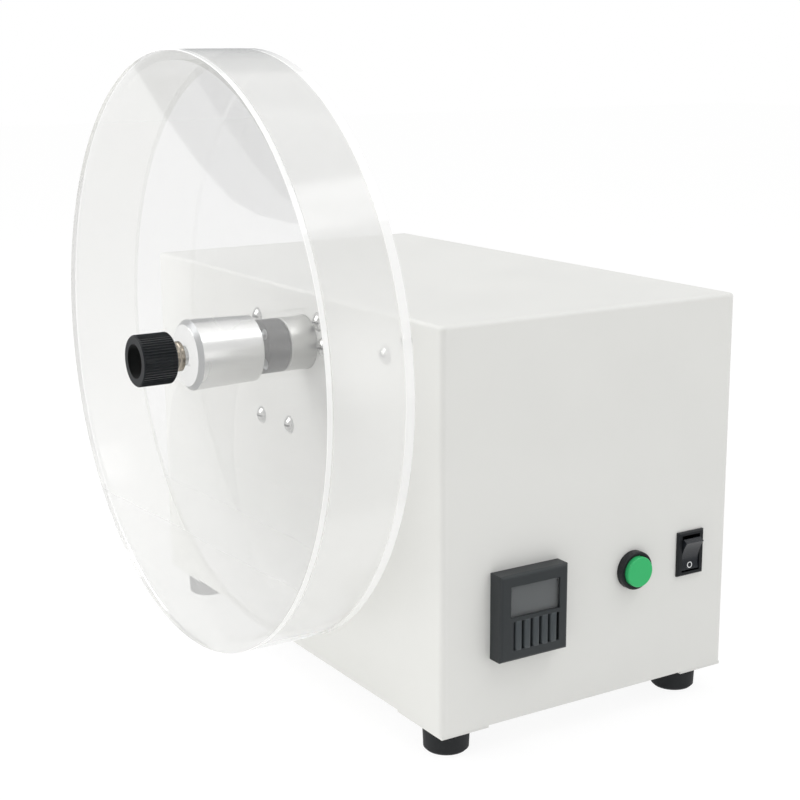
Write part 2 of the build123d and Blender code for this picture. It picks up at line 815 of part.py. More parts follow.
def drive_motor():
    """The round motor behind the gearhead, with grooves between its cooling ribs."""
    pitch = (motor_length - 2 * motor_end) / motor_groove_count
    groove_radius = motor_radius - motor_groove_depth
    end = gearhead_end + motor_length
    outline = [(gearhead_end, 0), (gearhead_end, motor_radius)]
    for k in range(motor_groove_count):
        middle = gearhead_end + motor_end + pitch * (k + 0.5)
        start = middle - pitch * motor_groove_share / 2
        stop = middle + pitch * motor_groove_share / 2
        outline += [(start, motor_radius), (start, groove_radius)]
        outline += [(stop, groove_radius), (stop, motor_radius)]
    outline += [(end - motor_end_edge, motor_radius), (end, motor_radius - motor_end_edge), (end, 0)]
    return turned(outline, axis_back, gearhead_middle)


# Fittings on the base plate

def motor_capacitor():
    """The motor's capacitor, a rounded case standing on the base plate."""
    x = housing_width * capacitor_side_share
    y = housing_depth * capacitor_back_share
    case = block(x - capacitor_length / 2, x + capacitor_length / 2, y - capacitor_width / 2,
                 y + capacitor_width / 2, base_top, base_top + capacitor_height)
    return fillet(case.edges().filter_by(Axis.Z), capacitor_edge)


def terminal_block():
    """The stepped strip where the mains wires meet, with one well for each way."""
    x0 = housing_width * terminal_side_share - terminal_length / 2
    y = housing_depth * terminal_back_share
    half = terminal_width / 2
    top = base_top + terminal_height
    low = top - terminal_step
    profile = Polyline(
        (y - half, base_top), (y + half, base_top), (y + half, low), (y + half / 2, low),
        (y + half / 2, top), (y - half / 2, top), (y - half / 2, low), (y - half, low), close=True)
    strip = Pos(x0, 0, 0) * extrude(make_face(Plane.YZ * profile), terminal_length, dir=(1, 0, 0))
    pitch = terminal_length / terminal_ways
    wells = [rod_z(top - terminal_well_depth, top + overrun, terminal_well, x0 + pitch * (k + 0.5), y)
             for k in range(terminal_ways)]
    return minus(strip, wells)


# Counter

case_width = counter_width - 2 * counter_side_wall
case_height = counter_height - 2 * counter_side_wall
front_wall_back = counter_front_wall - counter_proud
display_front = front_wall_back + window_thickness
case_front = display_front + display_thickness
window_x = counter_x + window_offset_x
window_z = counter_z + window_offset_z
key_row_x = counter_x + key_offset_x
key_row_z = counter_z + key_offset_z


def counter_case_envelope(gap):
    """The room that the counter's case takes, with a gap all round."""
    return plate(counter_x, counter_z, case_width + 2 * gap, case_height + 2 * gap,
                 case_front, counter_depth)


def counter_bezel():
    """The counter's front frame, with a window above and one opening for the keys below."""
    frame = plate(counter_x, counter_z, counter_width, counter_height, -counter_proud, 0)
    front = frame.faces().sort_by(Axis.Y)[0]
    frame = fillet(front.edges(), counter_edge)
    hollow = plate(counter_x, counter_z, case_width + 2 * seat_gap, case_height + 2 * seat_gap,
                   front_wall_back, overrun)
    window = plate(window_x, window_z, window_width, window_height, -counter_proud - overrun, 0)
    keys = plate(key_row_x, key_row_z, key_count * key_pitch + key_pitch - key_width, key_height,
                 -counter_proud - overrun, 0)
    return minus(frame, [hollow, window, keys])


def counter_window():
    """The clear pane behind the bezel's upper opening."""
    return plate(window_x, window_z, window_width + 2 * window_lap, window_height + 2 * window_lap,
                 front_wall_back, display_front)


def counter_display():
    """The grey display behind the pane."""
    return plate(window_x, window_z, window_width + 2 * window_lap, window_height + 2 * window_lap,
                 display_front, case_front)


def counter_case():
    """The counter's case, from inside its bezel back into the housing."""
    case = plate(counter_x, counter_z, case_width, case_height, case_front, counter_depth)
    rear = case.faces().sort_by(Axis.Y)[-1]
    return chamfer(rear.edges(), counter_case_edge)


def counter_clip():
    """The square clip that pulls the counter against the front panel from behind."""
    outer = plate(counter_x, counter_z, case_width + 2 * clip_width, case_height + 2 * clip_width,
                  sheet, sheet + clip_thickness)
    return outer - plate(counter_x, counter_z, case_width + 2 * seat_gap, case_height + 2 * seat_gap,
                         -overrun, sheet + clip_thickness + overrun)


def counter_key(number):
    """One of the row of narrow setting keys, held behind the bezel by its shoulders."""
    x = key_row_x + (number - (key_count - 1) / 2) * key_pitch
    back = case_front - key_travel - key_stop_gap
    bar = plate(x, key_row_z, key_width, key_height - 2 * key_end_gap, -counter_proud - key_proud, back)
    front = bar.faces().sort_by(Axis.Y)[0]
    bar = fillet(front.edges().filter_by(Axis.Z), key_edge)
    shoulder = plate(x, key_row_z, key_width, key_height + 2 * key_shoulder,
                     front_wall_back + loose_gap, back)
    return bar + shoulder


# Start button

def button_bezel():
    """The button's ring and its threaded barrel through the front panel."""
    ring = rod_y(-button_flange, 0, button_flange_radius, button_x, button_z)
    front = ring.edges().filter_by(GeomType.CIRCLE).sort_by(Axis.Y)[0]
    ring = fillet(front, button_flange_edge)
    barrel = rod_y(-button_floor, button_barrel_length, button_barrel_radius, button_x, button_z)
    well = rod_y(-button_flange - overrun, -button_floor, button_cap_radius + loose_gap,
                 button_x, button_z)
    bore = rod_y(-button_flange, button_barrel_length + overrun, button_stem_radius + running_gap,
                 button_x, button_z)
    return ring + barrel - well - bore


def start_button():
    """The green cap and its stem, which travel together."""
    cap = rod_y(-button_cap_proud, button_cap_thickness - button_cap_proud, button_cap_radius,
                button_x, button_z)
    front = cap.edges().filter_by(GeomType.CIRCLE).sort_by(Axis.Y)[0]
    cap = fillet(front, button_cap_edge)
    stem = rod_y(-button_cap_proud + button_cap_thickness / 2,
                 button_barrel_length - button_travel - loose_gap, button_stem_radius,
                 button_x, button_z)
    return cap + stem


def button_nut():
    """The hexagon nut that holds the button behind the panel."""
    return Pos(button_x, sheet, button_z) * Rot(-90, 0, 0) * nut(
        button_nut_radius, button_barrel_radius + seat_gap, button_nut_thickness)


def button_contacts():
    """The contact block at the end of the button's barrel."""
    case = plate(button_x, button_z, button_block_side, button_block_side, button_barrel_length,
                 button_barrel_length + button_block_length)
    return fillet(case.edges().filter_by(Axis.Y), button_flange_edge)


# Power switch

def switch_body():
    """The switch's frame and its case, hollow where the rocker moves."""
    frame = plate(switch_x, switch_z, switch_width, switch_height, -switch_proud, 0)
    front = frame.faces().sort_by(Axis.Y)[0]
    frame = chamfer(front.edges(), switch_edge)
    case = plate(switch_x, switch_z, switch_body_width, switch_body_height, -switch_edge,
                 switch_body_depth)
    pocket = plate(switch_x, switch_z, switch_pocket_width, switch_pocket_height,
                   -switch_proud - overrun, switch_pocket_floor)
    reach = switch_pocket_width / 2 + trunnion_length
    bearing_hole = rod_x(switch_x - reach, switch_x + reach, trunnion_radius + running_gap,
                         rocker_pivot_back, switch_z)
    tabs = [switch_tab_shape(k, seat_gap) for k in range(switch_tab_count)]
    return minus(frame + case, [pocket, bearing_hole] + tabs)


def switch_tab_shape(number, gap):
    """The room of one terminal blade in the back of the switch."""
    z = switch_z + (number - (switch_tab_count - 1) / 2) * switch_tab_spacing
    bury = (switch_body_depth - switch_pocket_floor) / 2
    return plate(switch_x, z, switch_tab_width + 2 * gap, switch_tab_thickness + 2 * gap,
                 switch_body_depth - bury, switch_body_depth + switch_tab_length)


def switch_terminals():
    """The blades that the wires push onto."""
    return [switch_tab_shape(k, 0) for k in range(switch_tab_count)]


def switch_rocker():
    """The dished rocker on its two stub pins, resting with its lower end in."""
    tip, rise = rocker_half_height, rocker_rise
    dish = ThreePointArc((-tip, rise), (0, rise - rocker_dish), (tip, rise))
    rest = Polyline(
        (tip, rise), (rocker_shoulder, rocker_shoulder_rise), (rocker_heel, -rocker_heel_drop),
        (rocker_sole, -rocker_sole_drop), (-rocker_sole, -rocker_sole_drop),
        (-rocker_heel, -rocker_heel_drop), (-rocker_shoulder, rocker_shoulder_rise), (-tip, rise))
    width = switch_pocket_width - 2 * loose_gap
    # The outline is drawn with height along its first axis and rise along its second.
    side = Plane(origin=(switch_x - width / 2, rocker_pivot_back, switch_z),
                 x_dir=(0, 0, 1), z_dir=(1, 0, 0))
    body = extrude(make_face(side * (dish + rest)), width, dir=(1, 0, 0))
    reach = width / 2 + trunnion_length
    pins = rod_x(switch_x - reach, switch_x + reach, trunnion_radius, rocker_pivot_back, switch_z)
    pivot = Axis((switch_x, rocker_pivot_back, switch_z), (1, 0, 0))
    return (body + pins).rotate(pivot, rocker_tilt)


# Mains inlet

inlet_front = housing_depth + inlet_flange_proud
inlet_floor = inlet_front - inlet_mouth_depth


def inlet_body():
    """The moulded mains inlet: flange, case and the shaped mouth for the connector."""
    flange = plate(inlet_x, inlet_z, inlet_flange_width, inlet_flange_height, housing_depth, inlet_front)
    flange = fillet(flange.edges().filter_by(Axis.Y), inlet_flange_edge)
    case = plate(inlet_x, inlet_z, inlet_body_width, inlet_body_height,
                 housing_depth - inlet_body_depth, housing_depth + inlet_flange_proud / 2)
    mouth = plate(inlet_x, inlet_z, inlet_mouth_width, inlet_mouth_height,
                  inlet_floor, inlet_front + overrun)
    upper = mouth.edges().filter_by(Axis.Y).sort_by(Axis.Z)[-2:]
    mouth = chamfer(upper, inlet_mouth_chamfer)
    holes = [rod_y(housing_depth - overrun, inlet_front + overrun, small_screw_radius + loose_gap, x, z)
             for x, z in inlet_screw_places]
    pins = [inlet_pin(x, z, seat_gap) for x, z in inlet_pin_places]
    return minus(flange + case, [mouth] + holes + pins)


inlet_pin_places = [
    (inlet_x - inlet_pin_spacing / 2, inlet_z - inlet_pin_rise),
    (inlet_x, inlet_z + inlet_pin_rise),
    (inlet_x + inlet_pin_spacing / 2, inlet_z - inlet_pin_rise),
]


def inlet_pin(x, z, gap):
    """One blade of the inlet, upright, from its solder tab to its tip inside the mouth."""
    return plate(x, z, inlet_pin_thickness + 2 * gap, inlet_pin_width + 2 * gap,
                 housing_depth - inlet_body_depth - inlet_tab_length, inlet_front - inlet_pin_recess)


def inlet_pins():
    """Live, earth and neutral."""
    return [inlet_pin(x, z, 0) for x, z in inlet_pin_places]


def inlet_screws():
    """Two screws that hold the inlet's flange to the rear panel."""
    return [Pos(x, inlet_front, z) * Rot(-90, 0, 0) * small_screw() for x, z in inlet_screw_places]


# Drum

def drum_hub():
    """The bright turned hub that slides on the spindle's stud inside the drum."""
    bore = stud_radius + running_gap
    body = turned([
        (lid_rear, bore), (lid_rear, hub_radius - hub_chamfer), (lid_rear + hub_chamfer, hub_radius),
        (back_disc_front, hub_rear_radius), (back_disc_front, bore)])
    end = back_disc_rear - hub_screw_depth
    return minus(body, [rod_x(end, back_disc_rear, small_screw_radius + seat_gap, y, z)
                        for y, z in hub_screw_places])


def countersunk_screw(y, z, gap, end):
    """One countersunk screw from behind the back disc into the hub, with a gap all round it."""
    head = small_head_radius - small_screw_radius
    shank = small_screw_radius + gap
    return turned([
        (end, 0), (end, shank), (back_disc_rear - head, shank),
        (back_disc_rear, shank + head), (back_disc_rear, 0)], y, z)


def hub_screws():
    """Countersunk screws that hold the hub to the back disc."""
    end = back_disc_rear - hub_screw_depth + loose_gap
    return [countersunk_screw(y, z, 0, end) for y, z in hub_screw_places]


def disc_outline(x0, x1, bore):
    """Outline of a drum disc with its edges just broken."""
    rim = drum_radius - disc_edge
    return [(x0, bore), (x0, rim), (x0 + disc_edge, drum_radius), (x1 - disc_edge, drum_radius),
            (x1, rim), (x1, bore)]


def drum_back_disc():
    """The clear disc on the housing's side, with holes for the drive pins and hub screws."""
    disc = turned(disc_outline(back_disc_front, back_disc_rear, stud_radius + loose_gap))
    cuts = [rod_x(back_disc_front - overrun, back_disc_rear + overrun,
                  drive_pin_radius + running_gap, y, z) for y, z in pin_places]
    cuts += [countersunk_screw(y, z, seat_gap, back_disc_front - overrun) for y, z in hub_screw_places]
    return minus(disc, cuts)


def drum_rim():
    """The clear ring between the two discs."""
    return turned([(lid_rear, chamber_radius), (lid_rear, drum_radius),
                   (back_disc_front, drum_radius), (back_disc_front, chamber_radius)])


def drum_lid():
    """The clear front disc, which comes off to load the tablets."""
    return turned(disc_outline(lid_front, lid_rear, stud_radius + loose_gap))


def drum_scoop():
    """The curved blade, an arc from the hub to the wall that lifts the tablets each turn."""
    middle = chamber_radius * scoop_radius_share + scoop_thickness / 2
    half_chord = chamber_radius / 2
    turn = radians(scoop_turn)
    apothem = (middle ** 2 - half_chord ** 2) ** 0.5
    # The arc's centre lies in front of the chord that runs from the axis to the wall.
    centre_y = -half_chord * sin(turn) - apothem * cos(turn)
    centre_z = -half_chord * cos(turn) + apothem * sin(turn)
    start = degrees(atan2(-centre_z, -centre_y))
    sweep = 2 * degrees(asin(half_chord / middle))
    spare = degrees(scoop_thickness / middle)
    arc = CenterArc((centre_y, centre_z), middle, start, -(sweep + spare))
    strip = extrude(Plane.YZ * trace(arc, scoop_thickness), chamber_width - loose_gap)
    blade = Pos(lid_rear + loose_gap, axis_back, axis_height) * strip
    blade = blade & rod_x(lid_rear, back_disc_front, chamber_radius)
    return blade - turned([
        (lid_rear, 0), (lid_rear, hub_radius - hub_chamfer), (lid_rear + hub_chamfer, hub_radius),
        (back_disc_front, hub_rear_radius), (back_disc_front, 0)])


def clamp_collar():
    """The nickel collar that the knob presses against the lid."""
    bore = stud_radius + running_gap
    step = lid_front - collar_flange
    return turned([
        (knob_rear, bore), (knob_rear, collar_neck_radius), (step, collar_neck_radius),
        (step, collar_radius - collar_chamfer), (step + collar_chamfer, collar_radius),
        (lid_front, collar_radius), (lid_front, bore)])


def clamp_knob():
    """The ribbed knob, hollow in front, whose thread draws the drum together."""
    points = []
    for k in range(2 * knob_rib_count):
        radius = knob_radius - knob_rib_depth * (k % 2)
        angle = pi * k / knob_rib_count
        points.append((radius * cos(angle), radius * sin(angle)))
    ribbed = extrude(make_face(Polyline(*points, close=True)), knob_length)
    ribbed = Pos(knob_front, axis_back, axis_height) * Rot(0, 90, 0) * ribbed
    rim = knob_radius - knob_edge
    edge = turned([
        (knob_front, 0), (knob_front, rim), (knob_front + knob_edge, knob_radius),
        (knob_rear - knob_edge, knob_radius), (knob_rear, rim), (knob_rear, 0)])
    return minus(ribbed & edge, [
        rod_x(knob_front - overrun, recess_floor, knob_recess_radius),
        rod_x(knob_front, knob_rear + overrun, stud_radius + running_gap)])


pieces = {
    "housing_shell": housing_shell(),
    "base_plate": base_plate(),
    "rear_panel": rear_panel(),
    "foot_plates": foot_plates(),
    "rear_panel_screws": rear_panel_screws(),
    "base_screws": base_screws(),
    "foot_screws": foot_screws(),
    "foot_nuts": foot_nuts(),
    "side_screws": side_screws(),
    "side_nuts": side_nuts(),
    "drive_bracket": drive_bracket(),
    "bearing_block": bearing_block(),
    "front_bearing": bearing(front_bearing_start),
    "rear_bearing": bearing(rear_bearing_end - bearing_width),
    "bearing_circlip": bearing_circlip(),
    "gearhead": gearhead(),
    "gearhead_screws": gearhead_screws(),
    "drive_motor": drive_motor(),
    "count_sensor": count_sensor(),
    "motor_capacitor": motor_capacitor(),
    "terminal_block": terminal_block(),
    "counter_bezel": counter_bezel(),
    "counter_window": counter_window(),
    "counter_display": counter_display(),
    "counter_case": counter_case(),
    "counter_clip": counter_clip(),
    "button_bezel": button_bezel(),
    "button_nut": button_nut(),
    "button_contacts": button_contacts(),
    "start_button": start_button(),
    "switch_body": switch_body(),
    "switch_terminals": switch_terminals(),
    "switch_rocker": switch_rocker(),
    "inlet_body": inlet_body(),
    "inlet_pins": inlet_pins(),
    "inlet_screws": inlet_screws(),
    "spindle_shaft": spindle_shaft(),
    "drive_flange": drive_flange(),
    "drive_pins": drive_pins(),
    "grub_screws": grub_screws(),
    "shaft_coupling": shaft_coupling(),
    "gearhead_shaft": gearhead_shaft(),
    "count_disc": count_disc(),
    "drum_back_disc": drum_back_disc(),
    "drum_rim": drum_rim(),
    "drum_scoop": drum_scoop(),
    "drum_hub": drum_hub(),
    "hub_screws": hub_screws(),
    "drum_lid": drum_lid(),
    "clamp_collar": clamp_collar(),
    "clamp_knob": clamp_knob(),
}
for name, (x, y) in foot_places.items():
    pieces[f"foot_{name}"] = foot(x, y)
for number in range(key_count):
    pieces[f"counter_key_{number + 1}"] = counter_key(number)


def solids_of(piece):
    """The separate solids of a piece or of a group of like pieces."""
    shapes = piece if isinstance(piece, list) else [piece]
    return [solid for shape in shapes for solid in shape.solids()]


# The origin is the middle of the whole tester's footprint, on the table.
extent = Compound(children=[solid for piece in pieces.values() for solid in solids_of(piece)]).bounding_box()
to_origin = Pos(-extent.center().X, -extent.center().Y, -foot_bottom)

os.makedirs("parts", exist_ok=True)
for name, piece in pieces.items():
    solids = [to_origin * solid for solid in solids_of(piece)]
    export_step(Compound(children=solids), f"parts/{name}.step")
print("the housing's front lower left corner lies at", to_origin.position)
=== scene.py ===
# %% [markdown]
# # A tablet friability tester
# The tester tumbles tablets in a clear drum, to find how much of them crumbles away. A light grey
# steel housing holds the gearmotor, a spindle stands out of its left side, and the drum with its
# curved scoop is clamped on the spindle by a ribbed knob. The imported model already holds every
# piece in its place, so this lesson is about looks: a camera, light, and a finish for each piece.

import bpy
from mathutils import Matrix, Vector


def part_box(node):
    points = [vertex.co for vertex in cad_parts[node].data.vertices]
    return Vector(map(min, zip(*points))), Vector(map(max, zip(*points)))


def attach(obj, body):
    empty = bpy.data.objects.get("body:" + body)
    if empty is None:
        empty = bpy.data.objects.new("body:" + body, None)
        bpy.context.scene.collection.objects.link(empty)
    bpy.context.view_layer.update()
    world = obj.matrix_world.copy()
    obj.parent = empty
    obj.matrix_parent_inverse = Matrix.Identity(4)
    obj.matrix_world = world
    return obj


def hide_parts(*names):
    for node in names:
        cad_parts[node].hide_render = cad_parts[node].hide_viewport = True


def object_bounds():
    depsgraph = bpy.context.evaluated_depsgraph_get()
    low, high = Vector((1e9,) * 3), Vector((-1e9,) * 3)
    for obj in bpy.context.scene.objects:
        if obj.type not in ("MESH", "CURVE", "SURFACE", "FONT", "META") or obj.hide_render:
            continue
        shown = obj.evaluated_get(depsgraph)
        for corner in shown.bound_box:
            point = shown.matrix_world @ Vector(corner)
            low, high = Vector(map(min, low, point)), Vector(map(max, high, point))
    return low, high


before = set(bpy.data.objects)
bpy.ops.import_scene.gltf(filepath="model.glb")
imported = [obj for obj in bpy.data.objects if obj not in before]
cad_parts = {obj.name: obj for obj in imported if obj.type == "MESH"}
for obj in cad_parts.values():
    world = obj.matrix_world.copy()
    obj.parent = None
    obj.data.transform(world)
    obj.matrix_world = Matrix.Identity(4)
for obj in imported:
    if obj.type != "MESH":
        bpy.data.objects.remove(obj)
cad_low, cad_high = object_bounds()
sides_mm = [round(side * 1000) for side in cad_high - cad_low]
print("pieces:", len(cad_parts), "size in mm:", sides_mm)

# %% [markdown]
# Blender works in metres, and a maker thinks in millimetres, so one value turns the second into
# the first. Colours are written as sRGB hex values, as a paint card or a photo gives them. The
# shader's sockets hold linear light, so one function turns them.

# %% Units and colours
from math import cos, radians, sin, tau

import bmesh
import bpy
from mathutils import Matrix, Vector

MM = 0.001


def linear(hex_colour):
    """An sRGB hex colour as the linear RGBA of a shader's socket."""
    channels = [int(hex_colour[i:i + 2], 16) / 255 for i in (1, 3, 5)]
    return [*(c / 12.92 if c <= 0.04045 else ((c + 0.055) / 1.055) ** 2.4 for c in channels), 1.0]


print("the grey #808080 is", round(linear("#808080")[0], 3), "in linear light")

# %% [markdown]
# Materials and the world are trees of nodes. One small function adds a node: it sets the node's
# own settings, then fills its inputs with plain values or with links from other nodes.
#
# A socket is found by its name, or by its number where several share a name. The Mix node has a
# set of sockets for each kind of data: input 0 is the share, 2 and 3 are the two numbers with
# output 0, and 6 and 7 are the two colours with output 2. A Mix Shader has its share at 0 and the
# two shaders at 1 and 2, and a Math node its two numbers at 0 and 1.

# %% Add a node
def add(owner, kind, inputs=None, **settings):
    """Adds a node to a material or world, with its settings, values and links."""
    tree = owner.node_tree
    node = tree.nodes.new(kind)
    for name, value in settings.items():
        setattr(node, name, value)
    for socket, value in (inputs or {}).items():
        if isinstance(value, bpy.types.NodeSocket):
            tree.links.new(value, node.inputs[socket])
        else:
            node.inputs[socket].default_value = value
    return node


# %% [markdown]
# ## Camera
# The tester is seen from its front left, a little from above, through a long lens. Yaw turns the
# view from straight ahead towards the right, pitch tips it down, and roll is the small tilt of a
# camera on a tripod. A constraint could aim the camera too, but three angles are easier to match
# to a photo. The three directions of the view are the columns of the camera's matrix.

# %% Camera
CAMERA_PLACE = Vector((-430.3, -733.2, 341.3)) * MM
YAW, PITCH, ROLL = radians(32.02), radians(12.77), radians(-0.3)
LENS_MM = 70.96

scene = bpy.context.scene
forward = Vector((sin(YAW) * cos(PITCH), cos(YAW) * cos(PITCH), -sin(PITCH)))
level = Vector((cos(YAW), -sin(YAW), 0))
upright = level.cross(forward)
right = level * cos(ROLL) + upright * sin(ROLL)
up = upright * cos(ROLL) - level * sin(ROLL)
view_turn = Matrix((right, up, -forward)).transposed().to_4x4()

camera = bpy.data.objects.new("camera", bpy.data.cameras.new("camera"))
camera.data.lens = LENS_MM
camera.matrix_world = Matrix.Translation(CAMERA_PLACE) @ view_turn
scene.collection.objects.link(camera)
bpy.context.scene.camera = camera
print("camera at", [round(c, 3) for c in camera.location])

# %% [markdown]
# ## Light
# A product studio is white all round. The world gives an even, plain level of light. Rays that
# come straight from the camera, or by way of metal or clear plastic, see it as pure white. Making
# the whole world that bright instead would wash out the pale housing.

# %% World
PLAIN_LEVEL = 0.71

scene.view_settings.view_transform = "Standard"
scene.world = bpy.data.worlds.new("white studio")
scene.world.use_nodes = True
scene.world.node_tree.nodes.clear()


def seen_as_white(owner):
    """1 for rays from the camera, and for rays that metal or clear plastic sends on."""
    rays = add(owner, "ShaderNodeLightPath").outputs
    mirrored = add(owner, "ShaderNodeMath", {0: rays["Is Camera Ray"], 1: rays["Is Glossy Ray"]},
                   operation="MAXIMUM").outputs[0]
    return add(owner, "ShaderNodeMath", {0: mirrored, 1: rays["Is Transmission Ray"]},
               operation="MAXIMUM").outputs[0]


plain = add(scene.world, "ShaderNodeBackground",
            {"Color": linear("#FFFFFF"), "Strength": PLAIN_LEVEL})
white = add(scene.world, "ShaderNodeBackground", {"Color": linear("#FFFFFF"), "Strength": 1.0})
either = add(scene.world, "ShaderNodeMixShader",
             {0: seen_as_white(scene.world), 1: plain.outputs[0], 2: white.outputs[0]})
add(scene.world, "ShaderNodeOutputWorld", {"Surface": either.outputs[0]})
print("the world lights the tester at", PLAIN_LEVEL, "of white")

# %% [markdown]
# The floor is part of the stage. It is white by itself, because most of what the camera sees of
# it is an even glow. The rest is a real diffuse surface that keeps a soft shadow, and the glow is
# a twentieth stronger to make up for it.

# %% Floor
FLOOR_SIDE = 12.0
FLOOR_GLOW = 0.86                # share of the floor that glows
FLOOR_GLOW_STRENGTH = 1.05
PAPER_FIBRE = 2.0


def flat_sheet(name, side_x, side_y, place, facing):
    """A flat rectangle of the stage, turned to face a direction."""
    mesh = bpy.data.meshes.new(name)
    shape = bmesh.new()
    bmesh.ops.create_grid(shape, x_segments=1, y_segments=1, size=0.5)
    bmesh.ops.scale(shape, vec=(side_x, side_y, 1), verts=shape.verts)
    turn = Vector(facing).to_track_quat("Z", "Y").to_matrix().to_4x4()
    bmesh.ops.transform(shape, matrix=Matrix.Translation(place) @ turn, verts=shape.verts)
    shape.to_mesh(mesh)
    shape.free()
    sheet = bpy.data.objects.new(name, mesh)
    scene.collection.objects.link(sheet)
    return sheet


def floor_paper():
    """White paper: a diffuse surface under an even glow that only the camera and mirrors see."""
    material = bpy.data.materials.new("floor paper")
    material.use_nodes = True
    material.node_tree.nodes.clear()
    place = add(material, "ShaderNodeTexCoord").outputs["Object"]
    fibres = add(material, "ShaderNodeTexNoise",
                 {"Vector": place, "Scale": 1 / (PAPER_FIBRE * MM)}).outputs["Fac"]
    tone = add(material, "ShaderNodeMix", {0: fibres, 6: linear("#F3F3F2"), 7: linear("#F6F6F5")},
               data_type="RGBA").outputs[2]
    paper = add(material, "ShaderNodeBsdfDiffuse", {"Color": tone})
    glow = add(material, "ShaderNodeEmission",
               {"Color": linear("#FFFFFF"), "Strength": FLOOR_GLOW_STRENGTH})
    share = add(material, "ShaderNodeMath", {0: seen_as_white(material), 1: FLOOR_GLOW},
                operation="MULTIPLY").outputs[0]
    both = add(material, "ShaderNodeMixShader", {0: share, 1: paper.outputs[0], 2: glow.outputs[0]})
    add(material, "ShaderNodeOutputMaterial", {"Surface": both.outputs[0]})
    return material


floor = flat_sheet("floor", FLOOR_SIDE, FLOOR_SIDE, Vector((0, 0, 0)), (0, 0, 1))
floor.data.materials.append(floor_paper())
print("floor:", FLOOR_SIDE, "m square")

# %% [markdown]
# Soft boxes model the shape. A wide one overhead makes the top the lightest face. One at the
# left, a little behind the tester, lights the drum's discs and lets the housing's side grow
# lighter towards the back. A small one, high in front at the right, draws the bright streak on
# the drum's rim and the white band on the hub: both are cylinders round the same axis, so one
# lamp gives both. A weak one far in front fills the front panel. The lamps stay far enough away
# that no pale face near one turns pure white.

# %% Soft boxes
SOFT_BOXES = {                   # place in metres, width and height in metres, watts
    "soft_box_top": ((0.1, -0.2, 1.7), 1.6, 1.6, 5.5),
    "soft_box_left": ((-1.1, 0.6, 0.8), 0.8, 0.8, 9.8),
    "soft_box_streak": ((0.71, -0.78, 1.51), 0.9, 0.4, 3.4),
    "soft_box_front": ((0.3, -1.9, 0.35), 1.2, 0.6, 2.1),
}
tester_middle = (cad_low + cad_high) / 2

for name, (place, width, height, watts) in SOFT_BOXES.items():
    lamp = bpy.data.lights.new(name, "AREA")
    lamp.shape = "RECTANGLE"
    lamp.size = width
    lamp.size_y = height
    lamp.energy = watts
    box = bpy.data.objects.new(name, lamp)
    aim = (tester_middle - Vector(place)).to_track_quat("-Z", "Y")
    box.matrix_world = Matrix.Translation(place) @ aim.to_matrix().to_4x4()
    scene.collection.objects.link(box)
    print(name, watts, "W")

# %% [markdown]
# Polished metal and clear plastic show what stands round them. A studio has dark corners too, and
# without them metal would look like white paint. Each card is seen only by way of a reflection.
# One lies before the tester and draws the grey stripe along the hub. One stands behind it at the
# right and darkens the top of the drum's ring. One hangs behind it at the left and shows in the
# drum's two discs as a grey patch with a curved lower edge.

# %% Cards
def card(sheet, hex_colour):
    """Makes a sheet of the stage a plain card that only mirrors see."""
    material = bpy.data.materials.new(sheet.name)
    material.use_nodes = True
    material.node_tree.nodes.clear()
    glow = add(material, "ShaderNodeEmission", {"Color": linear(hex_colour), "Strength": 1.0})
    add(material, "ShaderNodeOutputMaterial", {"Surface": glow.outputs[0]})
    sheet.data.materials.append(material)
    sheet.visible_camera = False
    sheet.visible_diffuse = False
    sheet.visible_transmission = False
    sheet.visible_shadow = False
    print(sheet.name, hex_colour)


def cut_sheet(name, outline):
    """A flat sheet of the stage with any outline."""
    mesh = bpy.data.meshes.new(name)
    shape = bmesh.new()
    shape.faces.new([shape.verts.new(corner) for corner in outline])
    shape.to_mesh(mesh)
    shape.free()
    sheet = bpy.data.objects.new(name, mesh)
    scene.collection.objects.link(sheet)
    return sheet


FLAT_CARDS = {                   # width and height in metres, place in metres, facing, colour
    "card_before_tester": (1.4, 0.7, (0.3, -0.6, 0.002), (0, 0, 1), "#A0A2A3"),
    "card_behind_right": (1.1, 1.2, (1.0, 1.2, 1.0), (0, -1, 0), "#A2A4A6"),
}
for name, (width, height, place, facing, hex_colour) in FLAT_CARDS.items():
    card(flat_sheet(name, width, height, Vector(place), facing), hex_colour)

# The third card hangs 1.2 m behind the tester. Its corners are in millimetres, across and up
WALL = 1200
CARD_CORNERS = ((-560, 900), (-575, 400), (-606, 313), (-645, 250), (-694, 184), (-739, 135),
                (-780, 112), (-827, 98), (-1100, 60), (-1100, 900))
card(cut_sheet("card_behind_tester", [Vector((x, WALL, z)) * MM for x, z in CARD_CORNERS]),
     "#2A2B2C")

# %% [markdown]
# ## Finishes
# Every finish starts from the same three things that the eye reads first: a colour that drifts a
# little over the surface, a roughness that drifts with it, and a fine grain that breaks up the
# light. Sizes are real ones in millimetres. What is special to one material is added after this.

# %% The start of every finish
NOISE_LOW, NOISE_HIGH = 0.3, 0.7     # nearly all of a noise texture lies between these


